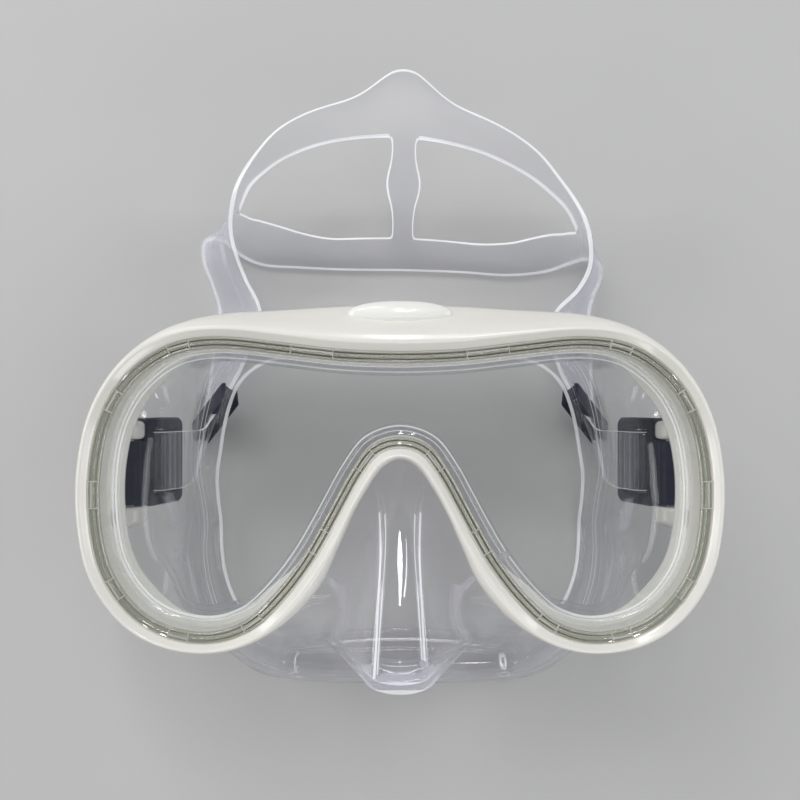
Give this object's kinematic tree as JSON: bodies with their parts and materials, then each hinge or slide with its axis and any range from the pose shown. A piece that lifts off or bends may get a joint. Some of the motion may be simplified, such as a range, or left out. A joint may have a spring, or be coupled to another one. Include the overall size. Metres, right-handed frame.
{
  "type": "diving mask",
  "caption": "Panoramic diving mask with a hard frame round one glass lens, a clear silicone skirt with a nose pocket, swivel buckles and a split head strap.",
  "frame": {"origin": "centre of the plan box, on the surface that the mask lies on", "axes": "+Z out through the lens, +Y towards the forehead and the head strap's pad, +X to the wearer's left"},
  "size_m": [0.1696, 0.1814, 0.0647],
  "materials": {
    "frame_cream": "smooth gloss",
    "badge_cream": "polished",
    "lens_glass": "polished, greenish at the edge",
    "ring_clear": "clear",
    "silicone": "clear silicone, glossy",
    "buckle_navy": "satin",
    "roller_navy": "satin",
    "steel": "bright"
  },
  "bodies": {
    "mask": {"front_frame": "frame_cream", "top_badge": "badge_cream", "lens": "lens_glass", "retaining_ring": "ring_clear", "skirt": "silicone", "strap": "silicone", "hinge_pin_left": "steel", "hinge_pin_right": "steel"},
    "buckle_left": {"buckle_left": "buckle_navy", "roller_pin_left": "steel", "strap_end_left": "silicone"},
    "roller_left": {"roller_left": "roller_navy"},
    "lever_left": {"release_lever_left": "roller_navy"},
    "keeper_left": {"keeper_left": "buckle_navy"},
    "buckle_right": {"buckle_right": "buckle_navy", "roller_pin_right": "steel", "strap_end_right": "silicone"},
    "roller_right": {"roller_right": "roller_navy"},
    "lever_right": {"release_lever_right": "roller_navy"},
    "keeper_right": {"keeper_right": "buckle_navy"}
  },
  "joints": [
    {"name": "buckle_left_swing", "type": "hinge", "parent": "mask", "child": "buckle_left", "pos_m": [0.0745, -0.02245, 0.044], "axis": [0, -1, 0], "range_deg": [0, 45]},
    {"name": "roller_left_spin", "type": "hinge", "parent": "buckle_left", "child": "roller_left", "pos_m": [0.07017, -0.01995, 0.03069], "axis": [0, 1, 0], "continuous": true},
    {"name": "lever_left_press", "type": "hinge", "parent": "buckle_left", "child": "lever_left", "pos_m": [0.07601, -0.02245, 0.04025], "axis": [0, 1, 0], "range_deg": [0, 10], "stiffness_Nm_per_rad": 0.02, "springref_deg": -2.86},
    {"name": "keeper_left_slide", "type": "slide", "parent": "mask", "child": "keeper_left", "axis": [0.1829, 0.7016, -0.6887], "range_m": [-0.0009, 0.0002]},
    {"name": "buckle_right_swing", "type": "hinge", "parent": "mask", "child": "buckle_right", "pos_m": [-0.0745, -0.02245, 0.044], "axis": [0, 1, 0], "range_deg": [0, 45]},
    {"name": "roller_right_spin", "type": "hinge", "parent": "buckle_right", "child": "roller_right", "pos_m": [-0.07017, -0.01995, 0.03069], "axis": [0, 1, 0], "continuous": true},
    {"name": "lever_right_press", "type": "hinge", "parent": "buckle_right", "child": "lever_right", "pos_m": [-0.07601, -0.02245, 0.04025], "axis": [0, -1, 0], "range_deg": [0, 10], "stiffness_Nm_per_rad": 0.02, "springref_deg": -2.86},
    {"name": "keeper_right_slide", "type": "slide", "parent": "mask", "child": "keeper_right", "axis": [-0.1829, 0.7016, -0.6887], "range_m": [-0.0009, 0.0002]}
  ]
}
